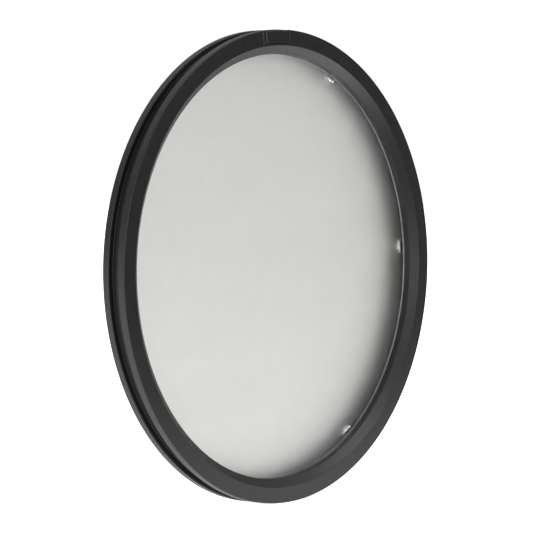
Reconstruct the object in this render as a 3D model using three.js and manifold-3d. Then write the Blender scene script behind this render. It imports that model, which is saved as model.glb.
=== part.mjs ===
// A ring cell that holds a ribbed clear prism disc, in millimetres.
// The optical axis is Y, the front faces -Y and +Z is up.
// The origin is on the optical axis, in the middle plane of the groove round the rim.
// The disc rests on a gasket behind the front lip. Behind it, a threaded collar presses six
// spring clips against its rim.

import * as THREE from 'three';
import { mergeVertices } from 'three/addons/utils/BufferGeometryUtils.js';
import Module from 'manifold-3d';

const wasm = await Module();
wasm.setup();

// ---- Driving dimensions ----

// Ring cell, across the section from the rim inwards
const outerDiameter = 100;
const faceWidth = 3.35;
const bevelWidth = 1.75;
const bevelDepth = 1.35;
const lipOverlap = 2.4;

// Ring cell, along the axis
const cellThickness = 5.85;
const frontRimWidth = 1.75;
const grooveWidth = 2.5;
const grooveDepth = 1.25;
const edgeBreak = 0.2;

// The cell is set this far anticlockwise of upright, seen from the front
const setTurn = 4.5;

// Index insert, let into the front face
const insertWidth = 7.3;
const insertDepth = 0.9;
const insertLand = 0.35;
const slitWidth = 1.45;

// Disc and gasket
const discThickness = 1.2;
const discBevel = 0.3;
const gasketThickness = 0.28;

// Spring clips
const clipCount = 6;
const clipWidth = 3.8;
const clipReach = 3.4;
const clipBend = 1.9;
const clipMetal = 0.2;
const clipRise = 0.22;
const clipTipRise = 0.5;
const clipFoot = 0.8;

// Retaining collar: a threaded flange with a tube behind it
const flangeThickness = 0.75;
const flangeWidth = 2.0;
const collarLength = 3.4;
const collarWall = 1.1;
const collarBreak = 0.15;
const spannerSlots = 4;
const spannerSlotWidth = 2.4;
const spannerSlotDepth = 1.0;

// Clearances
const seamGap = 0.3;
const bondGap = 0.15;
const playGap = 0.05;
const threadGap = 0.2;

// Facets round a full turn, and round a small arc
const ringFacets = 144;
const arcFacets = 24;

// ---- Places worked out from the sizes above ----

const outerRadius = outerDiameter / 2;
const faceRadius = outerRadius - faceWidth;
const boreRadius = faceRadius - bevelWidth;
const pocketRadius = boreRadius + lipOverlap;
const grooveRadius = outerRadius - grooveDepth;

// The front face's distance ahead of the groove's middle plane
const frontOffset = frontRimWidth + grooveWidth / 2;
const along = (depth) => depth - frontOffset;

// Depths behind the front face, stacked forwards from the rear face
const flangeBack = cellThickness - playGap;
const flangeFront = flangeBack - flangeThickness;
const clipBack = flangeFront - playGap;
const discBack = clipBack - clipRise - clipMetal - playGap;
const discFront = discBack - discThickness;
const gasketBack = discFront - playGap;
const gasketFront = gasketBack - gasketThickness;
const lipBack = gasketFront - playGap;

const discRadius = pocketRadius - seamGap;
const flangeRadius = pocketRadius - threadGap;
const collarInner = flangeRadius - flangeWidth;
const collarOuter = collarInner + collarWall;
const collarBack = flangeBack + collarLength;
const indexAngle = 90 + setTurn;

// ---- Geometry helpers ----

const point = (x, y) => new THREE.Vector2(x, y);
const radians = (angle) => THREE.MathUtils.degToRad(angle);

// A ring turned about the optical axis from a section of [radius, depth] corners
function turned(corners) {
  const outline = corners.map(([radius, depth]) => point(radius, along(depth)));
  return new THREE.LatheGeometry(outline, ringFacets);
}

function closedSection(corners) {
  return [...corners, corners[0]];
}

// A flat outline in X and Z, given a thickness from one depth to another
function plate(shape, frontDepth, backDepth) {
  const thickness = backDepth - frontDepth;
  const options = { depth: thickness, bevelEnabled: false, curveSegments: arcFacets };
  const geometry = new THREE.ExtrudeGeometry(shape, options);
  geometry.rotateX(Math.PI / 2);
  geometry.translate(0, along(backDepth), 0);
  return geometry;
}

// Part of a flat ring, between two radii and two angles in degrees
function sector(innerRadius, outerRadiusOfSector, startAngle, endAngle) {
  const shape = new THREE.Shape();
  shape.absarc(0, 0, outerRadiusOfSector, radians(startAngle), radians(endAngle), false);
  shape.absarc(0, 0, innerRadius, radians(endAngle), radians(startAngle), true);
  shape.closePath();
  return shape;
}

function toSolid(geometry) {
  const bare = geometry.clone();
  bare.deleteAttribute('normal');
  bare.deleteAttribute('uv');
  const welded = mergeVertices(bare, 1e-5);
  const vertProperties = new Float32Array(welded.attributes.position.array);
  const triVerts = new Uint32Array(welded.index.array);
  return new wasm.Manifold(new wasm.Mesh({ numProp: 3, vertProperties, triVerts }));
}

function toGeometry(solid) {
  const mesh = solid.getMesh();
  const geometry = new THREE.BufferGeometry();
  geometry.setAttribute('position', new THREE.BufferAttribute(mesh.vertProperties, 3));
  geometry.setIndex(new THREE.BufferAttribute(mesh.triVerts, 1));
  geometry.computeVertexNormals();
  return geometry;
}

// Turns a geometry about the optical axis, anticlockwise seen from the front
function turnedTo(geometry, angle) {
  return geometry.clone().rotateY(-radians(angle));
}

// ---- Materials ----

const blackPlastic = new THREE.MeshStandardMaterial({ color: 0x2b2b2b, roughness: 0.55, metalness: 0 });
const insertPlastic = new THREE.MeshStandardMaterial({ color: 0x2e2e2e, roughness: 0.5, metalness: 0 });
const clearSilicone = new THREE.MeshStandardMaterial({ color: 0xeeeeed, roughness: 0.2, metalness: 0 });
const clearPlastic = new THREE.MeshStandardMaterial({ color: 0xd3d4d0, roughness: 0.35, metalness: 0 });
const springSteel = new THREE.MeshStandardMaterial({ color: 0xe2e4e3, roughness: 0.25, metalness: 1 });
const blackMetal = new THREE.MeshStandardMaterial({ color: 0x242424, roughness: 0.45, metalness: 0.3 });

// ---- Ring cell and index insert ----

const ringBody = toSolid(turned(closedSection([
  [boreRadius, lipBack],
  [boreRadius, bevelDepth],
  [faceRadius, 0],
  [outerRadius - edgeBreak, 0],
  [outerRadius, edgeBreak],
  [outerRadius, frontRimWidth - edgeBreak],
  [outerRadius - edgeBreak, frontRimWidth],
  [grooveRadius, frontRimWidth],
  [grooveRadius, frontRimWidth + grooveWidth],
  [outerRadius - edgeBreak, frontRimWidth + grooveWidth],
  [outerRadius, frontRimWidth + grooveWidth + edgeBreak],
  [outerRadius, cellThickness - edgeBreak],
  [outerRadius - edgeBreak, cellThickness],
  [pocketRadius + edgeBreak, cellThickness],
  [pocketRadius, cellThickness - edgeBreak],
  [pocketRadius, lipBack],
])));

// The recess is open at the rim and centred on the index angle, so the slit is on its left
function degreesAtRim(width) {
  return THREE.MathUtils.radToDeg(width / outerRadius);
}

const recessWidth = insertWidth + seamGap + slitWidth;
const recessStart = indexAngle - degreesAtRim(recessWidth / 2);
const recessEnd = indexAngle + degreesAtRim(recessWidth / 2);
const insertStart = recessStart + degreesAtRim(seamGap);
const insertEnd = insertStart + degreesAtRim(insertWidth);
const recessRadius = faceRadius + insertLand;
const beyondRim = outerRadius + 1;
const aheadOfFace = -1;

const recess = toSolid(plate(
  sector(recessRadius, beyondRim, recessStart, recessEnd), aheadOfFace, insertDepth + bondGap,
));
const insertBlock = toSolid(plate(
  sector(recessRadius + seamGap, beyondRim, insertStart, insertEnd), aheadOfFace, insertDepth,
));

// Each clip's foot stands in a slot in the pocket wall, open to the rear
const footRadius = pocketRadius + clipFoot;
const slotHalfWidth = clipWidth / 2 + seamGap;
const slotRadius = footRadius + seamGap;
const slotFront = clipBack - clipMetal - seamGap;
const behindRear = cellThickness + 1;

function footSlot(angle) {
  const shape = new THREE.Shape();
  shape.moveTo(boreRadius + lipOverlap / 2, -slotHalfWidth);
  shape.lineTo(slotRadius, -slotHalfWidth);
  shape.lineTo(slotRadius, slotHalfWidth);
  shape.lineTo(boreRadius + lipOverlap / 2, slotHalfWidth);
  shape.closePath();
  return toSolid(turnedTo(plate(shape, slotFront, behindRear), angle));
}

const clipAngles = [];
for (let index = 0; index < clipCount; index += 1) {
  clipAngles.push(setTurn + (index * 360) / clipCount);
}

let cellSolid = ringBody.subtract(recess);
for (const angle of clipAngles) {
  cellSolid = cellSolid.subtract(footSlot(angle));
}
const cellGeometry = toGeometry(cellSolid);
const insertGeometry = toGeometry(ringBody.intersect(insertBlock));

// ---- Gasket and disc ----

const gasketInner = boreRadius + playGap;
const gasketOuter = pocketRadius - seamGap;
const gasketGeometry = turned(closedSection([
  [gasketInner, gasketBack],
  [gasketInner, gasketFront],
  [gasketOuter, gasketFront],
  [gasketOuter, gasketBack],
]));

const discGeometry = turned([
  [0, discFront],
  [discRadius - discBevel, discFront],
  [discRadius, discFront + discBevel],
  [discRadius, discBack - discBevel],
  [discRadius - discBevel, discBack],
  [0, discBack],
]);

// ---- Spring clips ----

// The leaf runs inwards from its foot, bends where it bears on the disc, and its tip lifts clear
const tipRadius = pocketRadius - clipReach;
const bendRadius = pocketRadius - clipBend;
const leafFront = clipBack - clipMetal;
const bendFront = discBack + playGap;

function clipLeaf() {
  const side = new THREE.Shape();
  side.moveTo(footRadius, along(leafFront));
  side.lineTo(footRadius, along(clipBack));
  side.lineTo(flangeRadius, along(clipBack));
  side.lineTo(bendRadius, along(bendFront + clipMetal));
  side.lineTo(tipRadius, along(bendFront + clipTipRise + clipMetal));
  side.lineTo(tipRadius, along(bendFront + clipTipRise));
  side.lineTo(bendRadius, along(bendFront));
  side.lineTo(flangeRadius, along(leafFront));
  side.closePath();
  const leaf = new THREE.ExtrudeGeometry(side, { depth: clipWidth, bevelEnabled: false });
  leaf.translate(0, 0, -clipWidth / 2);
  return toSolid(leaf);
}

// The outline trims the leaf's inner end to a half round
function clipOutline() {
  const halfWidth = clipWidth / 2;
  const shape = new THREE.Shape();
  shape.moveTo(footRadius + 1, halfWidth);
  shape.lineTo(tipRadius + halfWidth, halfWidth);
  shape.absarc(tipRadius + halfWidth, 0, halfWidth, Math.PI / 2, (3 * Math.PI) / 2, false);
  shape.lineTo(footRadius + 1, -halfWidth);
  shape.closePath();
  return toSolid(plate(shape, discFront, behindRear));
}

const clipGeometry = toGeometry(clipLeaf().intersect(clipOutline()));

// ---- Retaining collar ----

const collarTube = toSolid(turned(closedSection([
  [collarInner, collarBack],
  [collarInner, flangeFront],
  [flangeRadius - collarBreak, flangeFront],
  [flangeRadius, flangeFront + collarBreak],
  [flangeRadius, flangeBack - collarBreak],
  [flangeRadius - collarBreak, flangeBack],
  [collarOuter, flangeBack],
  [collarOuter, collarBack - collarBreak],
  [collarOuter - collarBreak, collarBack],
])));

// Slots across the collar's rear end take a spanner
function spannerSlot(angle) {
  const halfWidth = spannerSlotWidth / 2;
  const shape = new THREE.Shape();
  shape.moveTo(collarInner - 1, -halfWidth);
  shape.lineTo(collarOuter + 1, -halfWidth);
  shape.lineTo(collarOuter + 1, halfWidth);
  shape.lineTo(collarInner - 1, halfWidth);
  shape.closePath();
  return toSolid(turnedTo(plate(shape, collarBack - spannerSlotDepth, collarBack + 1), angle));
}

let collarSolid = collarTube;
for (let index = 0; index < spannerSlots; index += 1) {
  collarSolid = collarSolid.subtract(spannerSlot(indexAngle + (index * 360) / spannerSlots));
}
const collarGeometry = toGeometry(collarSolid);

// ---- The object ----

const prismCell = new THREE.Group();

function addPiece(name, geometry, material) {
  const piece = new THREE.Mesh(geometry, material);
  piece.name = name;
  prismCell.add(piece);
  return piece;
}

addPiece('cell_ring', cellGeometry, blackPlastic);
addPiece('index_insert', insertGeometry, insertPlastic);
addPiece('front_gasket', gasketGeometry, clearSilicone);
addPiece('prism_disc', discGeometry, clearPlastic);
clipAngles.forEach((angle, index) => {
  const clip = addPiece(`spring_clip_${index + 1}`, clipGeometry, springSteel);
  clip.rotation.y = -radians(angle);
});
addPiece('retaining_collar', collarGeometry, blackMetal);

export default prismCell;
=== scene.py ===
"""The looks of a ring cell that holds a ribbed clear disc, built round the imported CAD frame."""

import math

import bmesh
import bpy
from mathutils import Matrix, Vector


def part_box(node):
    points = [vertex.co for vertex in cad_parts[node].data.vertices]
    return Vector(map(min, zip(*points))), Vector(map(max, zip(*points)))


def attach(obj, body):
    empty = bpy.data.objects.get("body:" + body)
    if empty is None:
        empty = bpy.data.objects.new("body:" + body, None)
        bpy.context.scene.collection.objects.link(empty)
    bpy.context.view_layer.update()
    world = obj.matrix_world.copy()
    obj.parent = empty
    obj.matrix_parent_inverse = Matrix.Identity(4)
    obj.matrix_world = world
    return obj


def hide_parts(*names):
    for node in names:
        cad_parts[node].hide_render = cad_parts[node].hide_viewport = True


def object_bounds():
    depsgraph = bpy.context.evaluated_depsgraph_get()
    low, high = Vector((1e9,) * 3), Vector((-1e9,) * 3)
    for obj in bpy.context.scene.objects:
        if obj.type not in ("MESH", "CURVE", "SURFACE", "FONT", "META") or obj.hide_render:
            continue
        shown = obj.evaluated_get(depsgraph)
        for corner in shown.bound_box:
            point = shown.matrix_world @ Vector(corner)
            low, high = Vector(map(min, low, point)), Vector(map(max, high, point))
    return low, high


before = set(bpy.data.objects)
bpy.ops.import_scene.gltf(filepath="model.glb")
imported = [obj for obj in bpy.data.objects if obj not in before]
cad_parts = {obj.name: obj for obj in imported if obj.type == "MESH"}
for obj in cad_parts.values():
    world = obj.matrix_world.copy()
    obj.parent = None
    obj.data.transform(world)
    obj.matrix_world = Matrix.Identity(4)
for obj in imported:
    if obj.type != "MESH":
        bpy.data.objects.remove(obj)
cad_low, cad_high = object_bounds()

MM = 0.001

# ---- Driving dimensions ----

# Ring cell section, and the edges of the gasket behind its lip
FACE_WIDTH = 3.35 * MM
BEVEL_WIDTH = 1.75 * MM
BEVEL_DEPTH = 1.35 * MM
LIP_OVERLAP = 2.4 * MM
FRONT_RIM_WIDTH = 1.75 * MM
GROOVE_WIDTH = 2.5 * MM
GROOVE_DEPTH = 1.25 * MM
EDGE_ROUNDING = 0.22 * MM
SOFT_EDGE = 0.12 * MM
GASKET_ROUNDING = 0.11 * MM

# How far the insert and the clips are set round, in degrees anticlockwise seen from the front
SET_TURN = 4.5

# Index insert
INSERT_WIDTH = 7.3 * MM
INSERT_DEPTH = 0.9 * MM
INSERT_LAND = 0.35 * MM
INSERT_SEAM = 0.05 * MM
INSERT_CHAMFER = 0.22 * MM
POCKET_CHAMFER = 0.08 * MM
POCKET_CLEARANCE = 0.15 * MM
SLIT_WIDTH = 1.45 * MM
SLIT_CHAMFER = 0.18 * MM
SLIT_OVERLAP = 0.1 * MM
RIB_GROOVE_DEPTH = 0.2 * MM
EDGE_RIB_WIDTH = 0.8 * MM
CAD_SEAM = 0.3 * MM

# Disc
DISC_BEVEL = 0.3 * MM
RIM_ZONE = 1.9 * MM
RIB_PITCH = 0.25 * MM
RIB_DEPTH = 0.03 * MM
RIB_FADE = 0.15 * MM
SEAT_RADIUS = 2.1 * MM
SEAT_INSET = 1.0 * MM
SEAT_EDGE = 0.1 * MM
SEAT_COLOUR = (0.95, 0.96, 0.96, 1)
SEAT_ROUGHNESS = 0.06

# Spring clips
CLIP_COUNT = 6
CLIP_WIDTH = 3.8 * MM
CLIP_REACH = 3.4 * MM
CLIP_BEND = 1.9 * MM
CLIP_METAL = 0.2 * MM
CLIP_CURL = 2.5 * MM
CLIP_TIP_RISE = 0.5 * MM
CLIP_FOOT = 0.8 * MM
CLIP_BEAD_DEPTH = 0.05 * MM
CLIP_BEAD_WIDTH = 0.12 * MM
CLIP_TIP_HALF_WIDTH = 0.04 * MM
PLAY = 0.05 * MM

# Collar
FLANGE_THICKNESS = 0.75 * MM
FLANGE_WIDTH = 2.0 * MM
COLLAR_WALL = 1.1 * MM
THREAD_GAP = 0.2 * MM
THREAD_DEPTH = 0.12 * MM
THREAD_COUNT = 3
BAFFLE_COUNT = 9
BAFFLE_DEPTH = 0.12 * MM
BAFFLE_MARGIN = 0.35 * MM
SPANNER_SLOTS = 4
SPANNER_SLOT_WIDTH = 2.4 * MM
SPANNER_SLOT_DEPTH = 1.0 * MM

# Facets round a full turn, steps round an edge, along a block and over a clip's leaf
TURN_STEPS = 360
EDGE_STEPS = 4
BLOCK_STEPS = 24
CLIP_ROWS = 60
CLIP_COLUMNS = 12

# How far a cutter stands out of the piece, and the angle in degrees that stays a hard corner
CUT_OVERSHOOT = 1 * MM
HARD_ANGLE = 35

# Grain: the part of the noise that the two colours share out, and each noise's scale and detail
DARK_BELOW = 0.3
LIGHT_ABOVE = 0.7
COLOUR_NOISE = (0.35, 3)
ROUGHNESS_NOISE = (0.6, 2)
RELIEF_NOISE = (1, 4)

# Floor, in metres
FLOOR_HALF = 6
FLOOR_FRONT = 0.07

# World: heights and depths as parts of a view direction, and strengths
CEILING_START = -0.45
CEILING_END = 0.6
WALL_LIGHT = 1.28
CEILING_LIGHT = 0.15
ROOM_START = -0.75
ROOM_LIGHT = 0.06
ROOM_END = 0.1
BACKDROP_LIGHT = 1.1

# Lights: the wide one overhead, then each soft box's name, place and size in metres, and power.
# The low one stands in front of the floor's edge and shines up from below its plane.
OVERHEAD_LIGHT = 1.5
OVERHEAD_SPREAD = 120
SOFT_BOXES = (
    ("left", (-1.45, -1.3, 0.35), 1.2, 17),
    ("front", (-0.28, -1.98, 0), 0.6, 7),
    ("high", (0.66, -1.47, 1.19), 0.5, 11),
    ("low", (0.94, -1.19, -1.3), 0.6, 12),
)

# Camera: degrees, millimetres of lens and film, outer radii, and metres
CAMERA_TURN = -49.8
CAMERA_LIFT = 1.94
CAMERA_LENS = 160.07
CAMERA_FILM = 36
CAMERA_ACROSS = -0.0891
CAMERA_UP = 0.0013
CAMERA_DISTANCE = 10.016
CAMERA_NEAR = 0.01
CAMERA_FAR = 100

# ---- Places taken from the frame ----

cell_low, cell_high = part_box("cell_ring")
disc_low, disc_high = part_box("prism_disc")
gasket_low, gasket_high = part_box("front_gasket")
collar_low, collar_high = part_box("retaining_collar")

outer_radius = cell_high.x
front = cell_low.y
rear = cell_high.y
face_radius = outer_radius - FACE_WIDTH
bore_radius = face_radius - BEVEL_WIDTH
pocket_radius = bore_radius + LIP_OVERLAP
groove_radius = outer_radius - GROOVE_DEPTH
groove_front = front + FRONT_RIM_WIDTH
groove_back = groove_front + GROOVE_WIDTH
lip_back = gasket_low.y - PLAY
disc_radius = disc_high.x
index_angle = 90 + SET_TURN


# ---- Mesh helpers ----

def rounded(corners):
    """A closed section from (radius, y, rounding) corners, each rounded corner an arc."""
    points = []
    for index, (radius, y, rounding) in enumerate(corners):
        here = Vector((radius, y))
        if rounding == 0:
            points.append(here)
            continue
        before = (Vector(corners[index - 1][:2]) - here).normalized()
        after = (Vector(corners[(index + 1) % len(corners)][:2]) - here).normalized()
        half = before.angle(after) / 2
        centre = here + (before + after).normalized() * (rounding / math.sin(half))
        start = here + before * (rounding / math.tan(half)) - centre
        end = here + after * (rounding / math.tan(half)) - centre
        first = math.atan2(start.y, start.x)
        sweep = math.atan2(end.y, end.x) - first
        sweep = (sweep + math.pi) % math.tau - math.pi
        for step in range(EDGE_STEPS + 1):
            turn = first + sweep * step / EDGE_STEPS
            points.append(centre + Vector((math.cos(turn), math.sin(turn))) * rounding)
    return points


def loop_faces(mesh, loops, closed):
    """Quads between one loop of vertices and the next, and round again if closed."""
    faces = []
    pairs = len(loops) if closed else len(loops) - 1
    for index in range(pairs):
        near = loops[index]
        far = loops[(index + 1) % len(loops)]
        for place in range(len(near)):
            after = (place + 1) % len(near)
            faces.append(mesh.faces.new((near[place], near[after], far[after], far[place])))
    return faces


def piece_from(name, mesh, *materials):
    """A new object from a bmesh, with its faces pointing out."""
    bmesh.ops.recalc_face_normals(mesh, faces=mesh.faces)
    data = bpy.data.meshes.new(name)
    mesh.to_mesh(data)
    mesh.free()
    piece = bpy.data.objects.new(name, data)
    bpy.context.scene.collection.objects.link(piece)
    for material in materials:
        data.materials.append(material)
    return piece


def turned(name, section, *materials):
    """A ring turned about the optical axis from a closed section."""
    mesh = bmesh.new()
    loops = []
    for step in range(TURN_STEPS):
        turn = math.tau * step / TURN_STEPS
        across, up = math.cos(turn), math.sin(turn)
        loops.append([mesh.verts.new((point.x * across, point.y, point.x * up)) for point in section])
    loop_faces(mesh, loops, closed=True)
    return piece_from(name, mesh, *materials)


def apply_modifiers(piece):
    """Puts the modified mesh in place of the piece's own."""
    graph = bpy.context.evaluated_depsgraph_get()
    data = bpy.data.meshes.new_from_object(piece.evaluated_get(graph))
    piece.modifiers.clear()
    piece.data = data


def cut(piece, cutters):
    """Cuts the cutters out of the piece and removes them."""
    for cutter in cutters:
        modifier = piece.modifiers.new("cut", "BOOLEAN")
        modifier.operation = "DIFFERENCE"
        modifier.solver = "EXACT"
        modifier.object = cutter
    apply_modifiers(piece)
    for cutter in cutters:
        bpy.data.objects.remove(cutter)


def smooth(piece):
    """Smooth shading that keeps flat faces flat and hard corners hard."""
    piece.data.shade_smooth()
    piece.data.set_sharp_from_angle(angle=math.radians(HARD_ANGLE))
    modifier = piece.modifiers.new("flat_faces", "WEIGHTED_NORMAL")
    modifier.keep_sharp = True
    apply_modifiers(piece)


def sector_block(name, levels, start, end, *materials):
    """A block lofted through levels of (y, inner radius, outer radius, side inset)."""
    mesh = bmesh.new()
    loops = []
    for y, inner, outer, inset in levels:
        loop = []
        for radius, forwards in ((outer, True), (inner, False)):
            low = start + inset / radius
            high = end - inset / radius
            for step in range(BLOCK_STEPS + 1):
                share = step / BLOCK_STEPS if forwards else 1 - step / BLOCK_STEPS
                turn = low + (high - low) * share
                loop.append(mesh.verts.new((radius * math.cos(turn), y, radius * math.sin(turn))))
        loops.append(loop)
    loop_faces(mesh, loops, closed=False)
    mesh.faces.new(loops[0])
    mesh.faces.new(loops[-1])
    return piece_from(name, mesh, *materials)


def bar(name, inner, outer, half_width, low_y, high_y, angle):
    """A straight bar along a radius, for cutting slots."""
    mesh = bmesh.new()
    bmesh.ops.create_cube(mesh, size=1)
    size = Vector((outer - inner, high_y - low_y, 2 * half_width))
    centre = Vector(((outer + inner) / 2, (high_y + low_y) / 2, 0))
    for vertex in mesh.verts:
        vertex.co = Vector([a * b for a, b in zip(vertex.co, size)]) + centre
    bmesh.ops.rotate(mesh, verts=mesh.verts, matrix=turn_about_axis(angle))
    return piece_from(name, mesh)


def turn_about_axis(angle):
    """The rotation about the optical axis that takes +X to this angle seen from the front."""
    return Matrix.Rotation(-math.radians(angle), 3, "Y")


# ---- Materials ----

def grained(name, dark, light, grain, roughness, relief, stretch=(1, 1, 1), **sockets):
    """A surface with mottled colour, uneven roughness and a fine relief, over fixed sockets."""
    material = bpy.data.materials.new(name)
    material.use_nodes = True
    nodes = material.node_tree.nodes
    links = material.node_tree.links
    shader = nodes["Principled BSDF"]
    for socket, value in sockets.items():
        shader.inputs[socket.replace("_", " ")].default_value = value
    place = nodes.new("ShaderNodeTexCoord")
    scale = nodes.new("ShaderNodeMapping")
    scale.inputs["Scale"].default_value = [1 / (grain * share) for share in stretch]
    links.new(place.outputs["Object"], scale.inputs["Vector"])

    def noise(size, detail):
        node = nodes.new("ShaderNodeTexNoise")
        node.inputs["Scale"].default_value = size
        node.inputs["Detail"].default_value = detail
        links.new(scale.outputs["Vector"], node.inputs["Vector"])
        return node.outputs["Fac"]

    colour = nodes.new("ShaderNodeValToRGB")
    colour.color_ramp.elements[0].position = DARK_BELOW
    colour.color_ramp.elements[0].color = (*dark, 1)
    colour.color_ramp.elements[1].position = LIGHT_ABOVE
    colour.color_ramp.elements[1].color = (*light, 1)
    links.new(noise(*COLOUR_NOISE), colour.inputs["Fac"])
    links.new(colour.outputs["Color"], shader.inputs["Base Color"])

    spread = nodes.new("ShaderNodeMapRange")
    spread.inputs["To Min"].default_value = roughness[0]
    spread.inputs["To Max"].default_value = roughness[1]
    links.new(noise(*ROUGHNESS_NOISE), spread.inputs["Value"])
    links.new(spread.outputs["Result"], shader.inputs["Roughness"])

    bump = nodes.new("ShaderNodeBump")
    bump.inputs["Strength"].default_value = relief[0]
    bump.inputs["Distance"].default_value = relief[1]
    links.new(noise(*RELIEF_NOISE), bump.inputs["Height"])
    links.new(bump.outputs["Normal"], shader.inputs["Normal"])
    return material


def clear_seats(material):
    """Polished clear half-round seats round the disc's rim, one for each clip."""
    nodes = material.node_tree.nodes
    links = material.node_tree.links
    shader = nodes["Principled BSDF"]

    def maths(operation, *values):
        node = nodes.new("ShaderNodeMath")
        node.operation = operation
        for slot, value in enumerate(values):
            if isinstance(value, (int, float)):
                node.inputs[slot].default_value = value
            else:
                links.new(value, node.inputs[slot])
        return node.outputs["Value"]

    place = nodes.new("ShaderNodeTexCoord")
    split = nodes.new("ShaderNodeSeparateXYZ")
    links.new(place.outputs["Object"], split.inputs["Vector"])
    across, up = split.outputs["X"], split.outputs["Z"]
    radius = maths("SQRT", maths("ADD", maths("MULTIPLY", across, across), maths("MULTIPLY", up, up)))
    turn = maths("SUBTRACT", maths("ARCTAN2", up, across), math.radians(SET_TURN))
    half_pitch = math.pi / CLIP_COUNT
    along_rim = maths("MULTIPLY", maths("WRAP", turn, half_pitch, -half_pitch), radius)
    inwards = maths("SUBTRACT", radius, disc_radius - SEAT_INSET)
    squares = maths("ADD", maths("MULTIPLY", along_rim, along_rim), maths("MULTIPLY", inwards, inwards))
    seat = nodes.new("ShaderNodeMapRange")
    seat.inputs["From Min"].default_value = SEAT_RADIUS - SEAT_EDGE
    seat.inputs["From Max"].default_value = SEAT_RADIUS + SEAT_EDGE
    seat.inputs["To Min"].default_value = 1
    seat.inputs["To Max"].default_value = 0
    links.new(maths("SQRT", squares), seat.inputs["Value"])
    for socket, kind, value in (
        ("Base Color", "RGBA", SEAT_COLOUR),
        ("Roughness", "FLOAT", SEAT_ROUGHNESS),
    ):
        blend = nodes.new("ShaderNodeMix")
        blend.data_type = kind
        first, second = [port for port in blend.inputs if port.enabled and port.name in "AB"]
        links.new(shader.inputs[socket].links[0].from_socket, first)
        second.default_value = value
        links.new(seat.outputs["Result"], blend.inputs["Factor"])
        result = [port for port in blend.outputs if port.enabled][0]
        links.new(result, shader.inputs[socket])
    return material


def moulded_black(name, dark, light):
    """The satin black of the ring and its insert, mottled between two tones."""
    return grained(
        name, dark, light, grain=0.4 * MM, roughness=(0.34, 0.54), relief=(0.5, 0.06 * MM),
        Specular_IOR_Level=0.5,
    )


black_plastic = moulded_black("black_plastic", (0.002, 0.002, 0.0021), (0.0045, 0.0045, 0.0047))
insert_plastic = moulded_black("insert_plastic", (0.0022, 0.0022, 0.0023), (0.005, 0.005, 0.0052))
clear_silicone = grained(
    "clear_silicone", (0.86, 0.86, 0.85), (0.92, 0.92, 0.91), grain=0.5 * MM,
    roughness=(0.16, 0.24), relief=(0.08, 0.02 * MM), Transmission_Weight=0.7, IOR=1.41,
)
ribbed_clear = clear_seats(grained(
    "ribbed_clear", (0.45, 0.455, 0.435), (0.58, 0.585, 0.565), grain=0.22 * MM,
    roughness=(0.38, 0.42), relief=(0.05, 0.01 * MM), stretch=(30, 1, 1),
    Transmission_Weight=0.92, IOR=1.49,
))
smooth_clear = clear_seats(grained(
    "smooth_clear", (0.8, 0.81, 0.785), (0.83, 0.84, 0.815), grain=1.2 * MM,
    roughness=(0.58, 0.62), relief=(0.01, 0.005 * MM), Transmission_Weight=1, IOR=1.49,
))
spring_steel = grained(
    "spring_steel", (0.86, 0.87, 0.87), (0.94, 0.95, 0.95), grain=0.35 * MM,
    roughness=(0.12, 0.2), relief=(0.08, 0.01 * MM), stretch=(5, 1, 1), Metallic=1,
)
black_metal = grained(
    "black_metal", (0.008, 0.008, 0.0082), (0.013, 0.013, 0.0132), grain=0.4 * MM,
    roughness=(0.45, 0.58), relief=(0.15, 0.02 * MM), stretch=(1, 6, 1), Specular_IOR_Level=0.25,
)
floor_paper = grained(
    "floor_paper", (0.93, 0.93, 0.93), (0.95, 0.95, 0.95), grain=6 * MM,
    roughness=(0.85, 0.95), relief=(0.02, 0.02 * MM), Specular_IOR_Level=0,
    Emission_Color=(1, 1, 1, 1), Emission_Strength=1.0,
)


# ---- Ring cell ----

def insert_angles():
    """The angles, in radians, of the recess, the edge rib to the left of the insert, and the insert."""
    width = INSERT_WIDTH + CAD_SEAM + SLIT_WIDTH
    start = math.radians(index_angle) - width / 2 / outer_radius
    end = math.radians(index_angle) + width / 2 / outer_radius
    groove = (SLIT_WIDTH - EDGE_RIB_WIDTH) / 2 / outer_radius
    insert = (start + INSERT_SEAM / outer_radius, end - SLIT_WIDTH / outer_radius)
    rib = (end - groove - EDGE_RIB_WIDTH / outer_radius, end - groove)
    return (start, end), rib, insert


def recess_block(name, start, end, depth, chamfer):
    """A cutter open at the rim, with a chamfer round its mouth."""
    inner = face_radius + INSERT_LAND
    beyond = outer_radius + CUT_OVERSHOOT
    return sector_block(
        name,
        [
            (front - CUT_OVERSHOOT, inner, beyond, -chamfer),
            (front, inner, beyond, -chamfer),
            (front + chamfer, inner, beyond, 0),
            (front + depth, inner, beyond, 0),
        ],
        start, end,
    )


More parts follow.
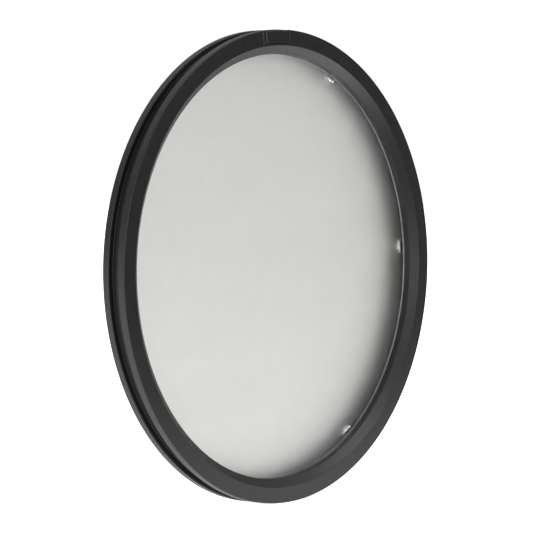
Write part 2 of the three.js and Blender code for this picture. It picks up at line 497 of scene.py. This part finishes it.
def make_ring():
    """The ring, with the insert's pocket and open slit in its face and a slot for each clip's foot."""
    section = rounded([
        (bore_radius, lip_back, SOFT_EDGE),
        (bore_radius, front + BEVEL_DEPTH, SOFT_EDGE),
        (face_radius, front, SOFT_EDGE),
        (outer_radius, front, EDGE_ROUNDING),
        (outer_radius, groove_front, EDGE_ROUNDING),
        (groove_radius, groove_front, SOFT_EDGE),
        (groove_radius, groove_back, SOFT_EDGE),
        (outer_radius, groove_back, EDGE_ROUNDING),
        (outer_radius, rear, EDGE_ROUNDING),
        (pocket_radius, rear, EDGE_ROUNDING),
        (pocket_radius, lip_back, 0),
    ])
    ring = turned("ring_shell", section, black_plastic)
    recess, rib, insert = insert_angles()
    inner_start = insert[1] - SLIT_OVERLAP / outer_radius
    pocket_depth = INSERT_DEPTH + POCKET_CLEARANCE
    pockets = [
        recess_block("insert_pocket", recess[0], insert[1], pocket_depth, POCKET_CHAMFER),
        recess_block("inner_groove", inner_start, rib[0], RIB_GROOVE_DEPTH, SLIT_CHAMFER),
        recess_block("outer_groove", rib[1], recess[1], RIB_GROOVE_DEPTH, SLIT_CHAMFER),
    ]
    slot_front = collar_low.y - PLAY - CLIP_METAL - CAD_SEAM
    slots = [
        bar(
            f"slot_{index}", bore_radius + LIP_OVERLAP / 2, pocket_radius + CLIP_FOOT + CAD_SEAM,
            CLIP_WIDTH / 2 + CAD_SEAM, slot_front, rear + CUT_OVERSHOOT, angle,
        )
        for index, angle in enumerate(clip_angles())
    ]
    cut(ring, [*pockets, *slots])
    smooth(ring)
    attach(ring, "cell")
    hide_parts("cell_ring")


def make_insert():
    """The pad let into the ring's face, chamfered round its front."""
    _, _, (start, end) = insert_angles()
    inner = face_radius + INSERT_LAND + INSERT_SEAM
    outer = outer_radius - EDGE_ROUNDING / 2
    levels = [
        (front, inner + INSERT_CHAMFER, outer - INSERT_CHAMFER, INSERT_CHAMFER),
        (front + INSERT_CHAMFER, inner, outer, 0),
        (front + INSERT_DEPTH, inner, outer, 0),
    ]
    insert = sector_block("index_pad", levels, start, end, insert_plastic)
    smooth(insert)
    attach(insert, "cell")
    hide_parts("index_insert")


def make_gasket():
    """The clear gasket between the lip and the disc."""
    inner = bore_radius + PLAY
    section = rounded([
        (inner, gasket_high.y, GASKET_ROUNDING),
        (inner, gasket_low.y, GASKET_ROUNDING),
        (gasket_high.x, gasket_low.y, GASKET_ROUNDING),
        (gasket_high.x, gasket_high.y, GASKET_ROUNDING),
    ])
    gasket = turned("seat_gasket", section, clear_silicone)
    smooth(gasket)
    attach(gasket, "cell")
    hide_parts("front_gasket")


# ---- Ribbed disc ----

def make_disc():
    """Flat in front and round the rim, with level prism ribs across the middle of the back."""
    mesh = bmesh.new()
    ribbed = disc_radius - RIM_ZONE
    base = disc_high.y - RIB_DEPTH
    count = 2 * int(ribbed / RIB_PITCH) - 1
    right, left = [], []
    for line in range(-count, count + 1):
        z = line * RIB_PITCH / 2
        y = disc_high.y if line % 2 == 0 else base
        half = math.sqrt(ribbed**2 - z**2)
        right.append(mesh.verts.new((half, y, z)))
        left.append(mesh.verts.new((-half, y, z)))
    for line in range(len(right) - 1):
        mesh.faces.new((left[line], right[line], right[line + 1], left[line + 1]))
    rim = right + left[::-1]
    turns = [math.atan2(vertex.co.z, vertex.co.x) for vertex in rim]

    def loop(radius, y):
        return [mesh.verts.new((radius * math.cos(t), y, radius * math.sin(t))) for t in turns]

    loops = [
        rim,
        loop(ribbed + RIB_FADE, base),
        loop(disc_radius - DISC_BEVEL, base),
        loop(disc_radius, base - DISC_BEVEL),
        loop(disc_radius, disc_low.y + DISC_BEVEL),
        loop(disc_radius - DISC_BEVEL, disc_low.y),
        loop(ribbed, disc_low.y),
    ]
    for face in loop_faces(mesh, loops, closed=False):
        face.material_index = 1
    mesh.faces.new(loops[-1]).material_index = 1
    disc = piece_from("ribbed_disc", mesh, ribbed_clear, smooth_clear)
    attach(disc, "disc")
    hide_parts("prism_disc")


# ---- Spring clips ----

def clip_angles():
    """The clips' places round the axis, in degrees, the first a little above +X."""
    return [SET_TURN + index * 360 / CLIP_COUNT for index in range(CLIP_COUNT)]


def make_clip(index, angle):
    """A bent leaf with a slight bead pressed across it and a half-round tip that rises off the disc."""
    foot = pocket_radius + CLIP_FOOT
    tip = pocket_radius - CLIP_REACH
    bend = pocket_radius - CLIP_BEND
    curl = pocket_radius - CLIP_CURL
    shoulder = pocket_radius - THREAD_GAP
    leaf_front = collar_low.y - PLAY - CLIP_METAL
    bend_front = disc_high.y + PLAY
    half_width = CLIP_WIDTH / 2

    def front_at(radius):
        """The leaf's front face: level at the foot, down to the disc, along it, then up to the tip."""
        if radius > shoulder:
            return leaf_front
        if radius > bend:
            return bend_front + (leaf_front - bend_front) * (radius - bend) / (shoulder - bend)
        bead = CLIP_BEAD_DEPTH * math.exp(-(((radius - (bend + curl) / 2) / CLIP_BEAD_WIDTH) ** 2))
        return bend_front + bead + CLIP_TIP_RISE * max(curl - radius, 0) / (curl - tip)

    mesh = bmesh.new()
    grids = []
    for offset in (0, CLIP_METAL):
        grid = []
        for row in range(CLIP_ROWS + 1):
            radius = foot + (tip - foot) * row / CLIP_ROWS
            from_tip = half_width - (radius - tip)
            half = half_width if from_tip < 0 else math.sqrt(max(half_width**2 - from_tip**2, 0))
            half = max(half, CLIP_TIP_HALF_WIDTH)
            grid.append([
                mesh.verts.new((radius, front_at(radius) + offset, half * (2 * column / CLIP_COLUMNS - 1)))
                for column in range(CLIP_COLUMNS + 1)
            ])
        grids.append(grid)
    outlines = []
    for grid in grids:
        for near, far in zip(grid, grid[1:]):
            for column in range(CLIP_COLUMNS):
                mesh.faces.new((near[column], near[column + 1], far[column + 1], far[column]))
        outlines.append(
            [line[0] for line in grid] + grid[-1][1:]
            + [line[-1] for line in grid[-2::-1]] + grid[0][-2:0:-1]
        )
    loop_faces(mesh, outlines, closed=False)
    bmesh.ops.rotate(mesh, verts=mesh.verts, matrix=turn_about_axis(angle))
    clip = piece_from(f"clip_leaf_{index}", mesh, spring_steel)
    smooth(clip)
    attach(clip, "clips")
    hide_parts(f"spring_clip_{index}")


# ---- Retaining collar ----

def make_collar():
    """A threaded flange with a tube behind it, grooved inside against stray light."""
    flange_front = collar_low.y
    flange_back = flange_front + FLANGE_THICKNESS
    back = collar_high.y
    flange_radius = collar_high.x
    inner = flange_radius - FLANGE_WIDTH
    outer = inner + COLLAR_WALL
    corners = [(inner, back, 0)]
    start = back - BAFFLE_MARGIN
    end = flange_front + BAFFLE_MARGIN
    pitch = (start - end) / BAFFLE_COUNT
    for groove in range(BAFFLE_COUNT):
        y = start - groove * pitch
        corners.append((inner, y, 0))
        corners.append((inner + BAFFLE_DEPTH, y - pitch / 2, 0))
    corners.append((inner, end, 0))
    corners.append((inner, flange_front, 0))
    thread_pitch = (FLANGE_THICKNESS - 2 * PLAY) / THREAD_COUNT
    corners.append((flange_radius - THREAD_DEPTH, flange_front, 0))
    for turn in range(THREAD_COUNT):
        y = flange_front + PLAY + thread_pitch * (turn + 0.5)
        corners.append((flange_radius, y, 0))
        corners.append((flange_radius - THREAD_DEPTH, y + thread_pitch / 2, 0))
    corners.append((flange_radius - THREAD_DEPTH, flange_back, 0))
    corners.append((outer, flange_back, SOFT_EDGE))
    corners.append((outer, back, SOFT_EDGE))
    collar = turned("rear_collar", rounded(corners), black_metal)
    slots = [
        bar(
            f"spanner_{index}", inner - CUT_OVERSHOOT, outer + CUT_OVERSHOOT,
            SPANNER_SLOT_WIDTH / 2, back - SPANNER_SLOT_DEPTH, back + CUT_OVERSHOOT,
            index_angle + index * 360 / SPANNER_SLOTS,
        )
        for index in range(SPANNER_SLOTS)
    ]
    cut(collar, slots)
    smooth(collar)
    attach(collar, "collar")
    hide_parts("retaining_collar")


# ---- Floor, light and camera ----

def make_floor():
    """A white floor under the ring, which ends a little way in front of it."""
    mesh = bmesh.new()
    bmesh.ops.create_grid(mesh, x_segments=1, y_segments=1, size=FLOOR_HALF)
    floor = piece_from("floor", mesh, floor_paper)
    floor.location = (0, FLOOR_HALF - FLOOR_FRONT, cad_low.z)


def make_world():
    """A white backdrop; what lights the object fades towards the ceiling and the room in front."""
    world = bpy.data.worlds.new("studio")
    bpy.context.scene.world = world
    world.use_nodes = True
    nodes = world.node_tree.nodes
    links = world.node_tree.links
    background = nodes["Background"]
    background.inputs["Color"].default_value = (1, 1, 1, 1)
    place = nodes.new("ShaderNodeTexCoord")
    split = nodes.new("ShaderNodeSeparateXYZ")
    links.new(place.outputs["Generated"], split.inputs["Vector"])

    def fade(axis, low, high, at_low, at_high):
        node = nodes.new("ShaderNodeMapRange")
        node.inputs["From Min"].default_value = low
        node.inputs["From Max"].default_value = high
        node.inputs["To Min"].default_value = at_low
        node.inputs["To Max"].default_value = at_high
        links.new(split.outputs[axis], node.inputs["Value"])
        return node.outputs["Result"]

    light = nodes.new("ShaderNodeMath")
    light.operation = "MULTIPLY"
    links.new(fade("Z", CEILING_START, CEILING_END, WALL_LIGHT, CEILING_LIGHT), light.inputs[0])
    links.new(fade("Y", ROOM_START, ROOM_END, ROOM_LIGHT, 1), light.inputs[1])
    seen = nodes.new("ShaderNodeLightPath")
    choice = nodes.new("ShaderNodeMix")
    choice.inputs["B"].default_value = BACKDROP_LIGHT
    links.new(seen.outputs["Is Camera Ray"], choice.inputs["Factor"])
    links.new(light.outputs["Value"], choice.inputs["A"])
    links.new(choice.outputs["Result"], background.inputs["Strength"])


def add_lamp(name, kind, power):
    data = bpy.data.lights.new(name, kind)
    data.energy = power
    lamp = bpy.data.objects.new(name, data)
    bpy.context.scene.collection.objects.link(lamp)
    return lamp


def make_sky_light():
    """One very wide soft light from above, which keeps the floor white."""
    lamp = add_lamp("overhead", "SUN", OVERHEAD_LIGHT)
    lamp.data.angle = math.radians(OVERHEAD_SPREAD)


def make_soft_box(name, place, size, power):
    """A square lamp that faces the object."""
    lamp = add_lamp(name, "AREA", power)
    lamp.data.size = size
    lamp.location = place
    lamp.rotation_euler = (-Vector(place)).to_track_quat("-Z", "Y").to_euler()
    lamp.visible_camera = False


def make_camera():
    """Nearly level with the ring and well round to its left, about ten radii away."""
    turn = math.radians(CAMERA_TURN)
    lift = math.radians(CAMERA_LIFT)
    back = Vector((math.sin(turn) * math.cos(lift), -math.cos(turn) * math.cos(lift), math.sin(lift)))
    right = Vector((math.cos(turn), math.sin(turn), 0))
    up = back.cross(right)
    data = bpy.data.cameras.new("camera")
    data.lens = CAMERA_LENS
    data.sensor_width = CAMERA_FILM
    data.clip_start = CAMERA_NEAR
    data.clip_end = CAMERA_FAR
    camera = bpy.data.objects.new("camera", data)
    bpy.context.scene.collection.objects.link(camera)
    centre = Vector((0, front, 0))
    offset = CAMERA_ACROSS * right + CAMERA_UP * up + CAMERA_DISTANCE * back
    place = centre + offset * outer_radius
    camera.matrix_world = Matrix.Translation(place) @ Matrix((right, up, back)).transposed().to_4x4()
    bpy.context.scene.camera = camera


# ---- The scene ----

make_ring()
make_insert()
make_gasket()
make_disc()
for number, clip_angle in enumerate(clip_angles(), start=1):
    make_clip(number, clip_angle)
make_collar()
make_floor()
make_world()
make_sky_light()
for soft_box in SOFT_BOXES:
    make_soft_box(*soft_box)
make_camera()
bpy.context.scene.view_settings.view_transform = "Standard"
